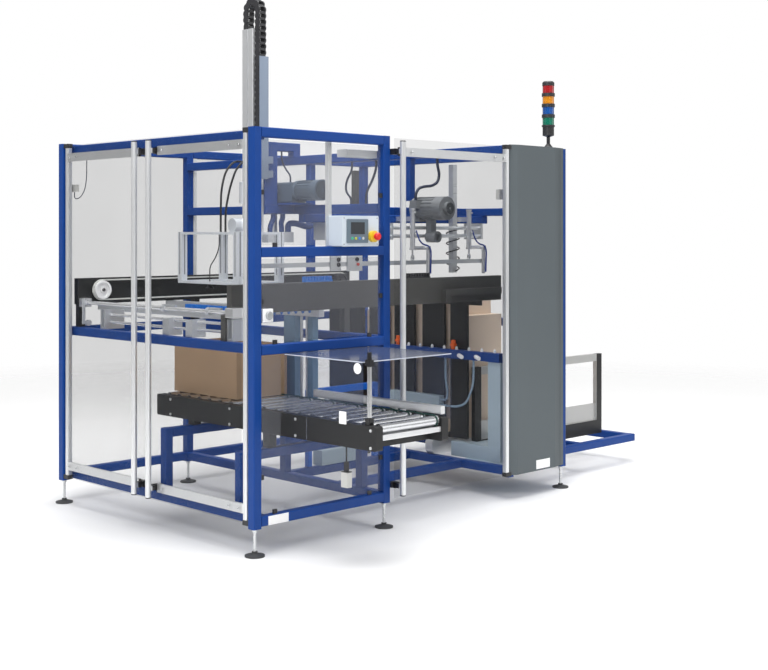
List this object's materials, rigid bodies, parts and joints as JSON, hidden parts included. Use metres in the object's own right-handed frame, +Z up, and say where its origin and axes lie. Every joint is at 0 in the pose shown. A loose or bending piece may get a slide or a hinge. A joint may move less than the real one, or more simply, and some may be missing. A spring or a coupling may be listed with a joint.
{
  "type": "tray erector machine",
  "caption": "Guarded packaging machine that folds flat carton blanks into trays with a vertical plunger and sends them out on a roller conveyor.",
  "frame": {"origin": "centre of the near left levelling foot's underside, on the floor", "axes": "+X along the front from the forming bay to the magazine, +Y into the machine, +Z up"},
  "size_m": [3.619, 2.5169, 2.9249],
  "materials": {
    "amber_plastic": "amber lens plastic",
    "belt_rubber": "light round belting",
    "black_plastic": "black moulded polyamide",
    "black_steel": "black powder coat",
    "blue_plastic": "blue lens plastic",
    "box_grey": "light grey enamel",
    "bright_blue_plastic": "bright blue moulded plastic",
    "bright_steel": "zinc plated and ground steel",
    "carton": "brown corrugated board",
    "clear_sheet": "clear polycarbonate, slightly grey",
    "cover_grey": "fine textured grey powder coat",
    "dark_steel": "dark grey powder coat",
    "frame_blue": "satin deep blue powder coat",
    "green_plastic": "green lens plastic",
    "hose_plastic": "blue air hose",
    "light_blue_paint": "pale blue enamel",
    "motor_grey": "grey blue enamel on a cast housing",
    "profile_aluminium": "natural anodised extrusion",
    "red_plastic": "red lens plastic",
    "screen_glass": "dark screen behind a film keypad",
    "white_plastic": "white moulded plastic"
  },
  "bodies": {
    "machine_frame": {"amber_lamp": "amber_plastic", "belt_wheels": "white_plastic", "blue_lamp": "blue_plastic", "cabinet_body": "box_grey", "cabinet_cover": "cover_grey", "cable_chains": "bright_blue_plastic", "chain_trough": "profile_aluminium", "conveyor_rollers": "bright_steel", "conveyor_sides": "black_steel", "conveyor_supports": "profile_aluminium", "cross_beams": "frame_blue", "cross_profiles": "profile_aluminium", "door_pivots": "black_plastic", "door_switches": "white_plastic", "drive_motors": "motor_grey", "emergency_stop": "red_plastic", "feed_beams": "dark_steel", "feed_belts": "belt_rubber", "formed_tray": "carton", "former_legs": "light_blue_paint", "former_rods": "bright_steel", "frame_posts": "frame_blue", "front_windows": "clear_sheet", "green_lamp": "green_plastic", "guard_sheets": "clear_sheet", "guide_bar": "profile_aluminium", "hoses": "hose_plastic", "levelling_feet": "black_plastic", "lift_bridge": "frame_blue", "long_beams": "frame_blue", "low_frame": "frame_blue", "magazine_belts": "dark_steel", "magazine_frame": "frame_blue", "magazine_front": "black_steel", "magazine_guides": "black_steel", "metal_brackets": "bright_steel", "operator_box": "box_grey", "operator_screen": "screen_glass", "operator_upright": "profile_aluminium", "pick_cylinders": "profile_aluminium", "pick_frame": "profile_aluminium", "pneumatic_box": "light_blue_paint", "red_lamp": "red_plastic", "signal_tower": "black_plastic", "tray_blanks": "carton", "tunnel_guard": "clear_sheet", "tunnel_rod": "bright_steel", "window_clips": "black_plastic"},
    "near_door": {"near_door_rails": "profile_aluminium", "near_door_sheet": "clear_sheet"},
    "far_door": {"far_door_rails": "profile_aluminium", "far_door_sheet": "clear_sheet"},
    "front_door": {"front_door_rails": "profile_aluminium", "front_door_sheet": "clear_sheet"},
    "lift": {"lift_mast": "profile_aluminium", "energy_chain": "black_plastic", "plunger": "profile_aluminium", "lift_hoses": "black_plastic"}
  },
  "joints": [
    {"name": "near_door_hinge", "type": "hinge", "parent": "machine_frame", "child": "near_door", "pos_m": [-0.004, 0.057, 0], "axis": [0, 0, 1], "range_deg": [0, 100]},
    {"name": "far_door_hinge", "type": "hinge", "parent": "machine_frame", "child": "far_door", "pos_m": [-0.004, 1.728, 0], "axis": [0, 0, -1], "range_deg": [0, 100]},
    {"name": "front_door_hinge", "type": "hinge", "parent": "machine_frame", "child": "front_door", "pos_m": [1.883, -0.031, 0], "axis": [0, 0, 1], "range_deg": [0, 100]},
    {"name": "plunger_lift", "type": "slide", "parent": "machine_frame", "child": "lift", "axis": [0, 0, -1], "range_m": [0, 0.55]}
  ]
}
